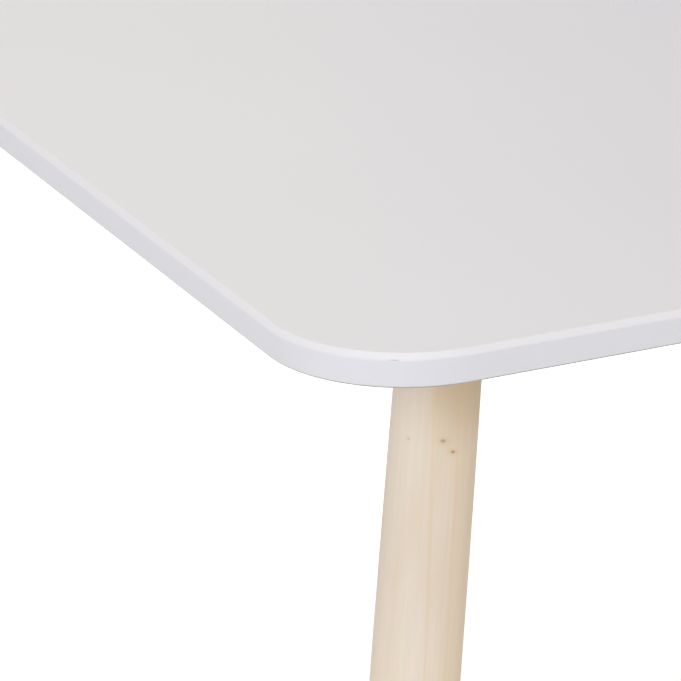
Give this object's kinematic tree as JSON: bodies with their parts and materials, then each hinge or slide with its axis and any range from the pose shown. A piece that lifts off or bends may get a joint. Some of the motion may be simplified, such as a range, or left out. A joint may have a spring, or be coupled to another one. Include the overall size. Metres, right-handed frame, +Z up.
{
  "type": "kids table and chairs",
  "caption": "Low square table for children: bevelled white board on splayed turned pine legs, with matching chairs that have a curved back panel.",
  "frame": {"origin": "on the floor under the middle of the table, midway between the chairs", "axes": "+X from chair 1 through the table to chair 2, +Z up, +Y along the table edge"},
  "size_m": [1.4108, 0.63, 0.5203],
  "materials": {
    "white_lacquer": "satin white lacquer",
    "pine": "turned, clear matt lacquer",
    "zinc_steel": "zinc plated",
    "felt": "pressed wool felt"
  },
  "bodies": {
    "table": {"table_felt_pads": "felt", "table_hanger_bolts": "zinc_steel", "table_leg_1": "pine", "table_leg_2": "pine", "table_leg_3": "pine", "table_leg_4": "pine", "table_leg_plate_1": "zinc_steel", "table_leg_plate_2": "zinc_steel", "table_leg_plate_3": "zinc_steel", "table_leg_plate_4": "zinc_steel", "table_plate_screws": "zinc_steel", "table_top": "white_lacquer", "table_weld_nuts": "zinc_steel"},
    "chair_1": {"chair_1_back_panel": "white_lacquer", "chair_1_back_post_left": "pine", "chair_1_back_post_right": "pine", "chair_1_felt_pads": "felt", "chair_1_hanger_bolts": "zinc_steel", "chair_1_leg_1": "pine", "chair_1_leg_2": "pine", "chair_1_leg_3": "pine", "chair_1_leg_4": "pine", "chair_1_leg_plate_1": "zinc_steel", "chair_1_leg_plate_2": "zinc_steel", "chair_1_leg_plate_3": "zinc_steel", "chair_1_leg_plate_4": "zinc_steel", "chair_1_panel_bolts": "zinc_steel", "chair_1_panel_inserts": "zinc_steel", "chair_1_plate_screws": "zinc_steel", "chair_1_post_screws": "zinc_steel", "chair_1_post_washers": "zinc_steel", "chair_1_seat": "white_lacquer", "chair_1_weld_nuts": "zinc_steel"},
    "chair_2": {"chair_2_back_panel": "white_lacquer", "chair_2_back_post_left": "pine", "chair_2_back_post_right": "pine", "chair_2_felt_pads": "felt", "chair_2_hanger_bolts": "zinc_steel", "chair_2_leg_1": "pine", "chair_2_leg_2": "pine", "chair_2_leg_3": "pine", "chair_2_leg_4": "pine", "chair_2_leg_plate_1": "zinc_steel", "chair_2_leg_plate_2": "zinc_steel", "chair_2_leg_plate_3": "zinc_steel", "chair_2_leg_plate_4": "zinc_steel", "chair_2_panel_bolts": "zinc_steel", "chair_2_panel_inserts": "zinc_steel", "chair_2_plate_screws": "zinc_steel", "chair_2_post_screws": "zinc_steel", "chair_2_post_washers": "zinc_steel", "chair_2_seat": "white_lacquer", "chair_2_weld_nuts": "zinc_steel"}
  },
  "joints": [
    {"name": "chair_1_slide", "type": "slide", "parent": "table", "child": "chair_1", "axis": [1, 0, 0], "range_m": [-0.15, 0.33]},
    {"name": "chair_2_slide", "type": "slide", "parent": "table", "child": "chair_2", "axis": [-1, 0, 0], "range_m": [-0.15, 0.33]}
  ]
}
